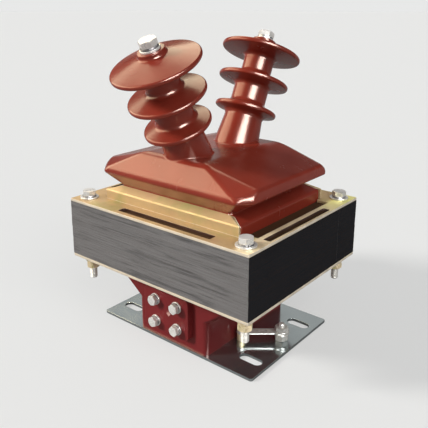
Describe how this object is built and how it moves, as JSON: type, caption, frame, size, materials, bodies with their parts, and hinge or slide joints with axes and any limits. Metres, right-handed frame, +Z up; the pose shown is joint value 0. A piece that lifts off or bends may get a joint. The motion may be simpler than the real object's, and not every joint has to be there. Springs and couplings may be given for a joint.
{
  "type": "voltage transformer",
  "caption": "Cast-resin voltage transformer: hump with a V of ribbed bushings over an exposed laminated core, pedestal with screw terminals on a slotted base plate.",
  "frame": {"origin": "centre of the base plate's underside", "axes": "+Z up; +X along the core's long side; the low-voltage terminals face -Y; the bushings lean towards -Y and +Y"},
  "size_m": [0.24, 0.2502, 0.3217],
  "materials": {
    "resin": "glossy red-brown cast epoxy resin",
    "lamination": "varnished dark grey electrical steel, edges of the sheets showing",
    "yellow_zinc_sheet": "yellow-passivated zinc on folded steel sheet",
    "yellow_zinc": "yellow-passivated zinc on fasteners",
    "bright_zinc": "bright zinc plating",
    "dark_spring_steel": "dull spring steel",
    "blue_zinc_plate": "bluish zinc plating, nearly a mirror",
    "brass": "turned brass",
    "copper_winding": "enamelled copper wire",
    "pressboard": "pressboard and insulating tube"
  },
  "bodies": {
    "root": {"resin_body": "resin", "core_e_stack": "lamination", "core_i_stack": "lamination", "top_clamp_frame": "yellow_zinc_sheet", "bottom_clamp_frame": "yellow_zinc_sheet", "core_bolts": "bright_zinc", "core_bolt_sleeves": "pressboard", "top_washers": "bright_zinc", "top_spring_washers": "dark_spring_steel", "bottom_washers": "yellow_zinc", "core_nuts": "yellow_zinc", "core_locknuts": "yellow_zinc", "base_plate": "blue_zinc_plate", "base_inserts": "brass", "base_screws": "bright_zinc", "coil_former": "pressboard", "lv_winding": "copper_winding", "winding_insulation": "pressboard", "hv_winding": "copper_winding", "hv_leads": "copper_winding", "hv_inserts": "brass", "hv_bolts": "bright_zinc", "hv_washers": "bright_zinc", "hv_spring_washers": "dark_spring_steel", "lv_leads": "copper_winding", "lv_inserts": "brass", "lv_bolts": "bright_zinc", "lv_washers": "bright_zinc", "lv_spring_washers": "dark_spring_steel", "earth_stud": "bright_zinc", "earth_lower_nut": "bright_zinc", "earth_washers": "bright_zinc", "earth_upper_nut": "bright_zinc", "earth_post": "yellow_zinc", "earth_post_screw": "bright_zinc", "earth_strap": "bright_zinc"}
  },
  "joints": []
}
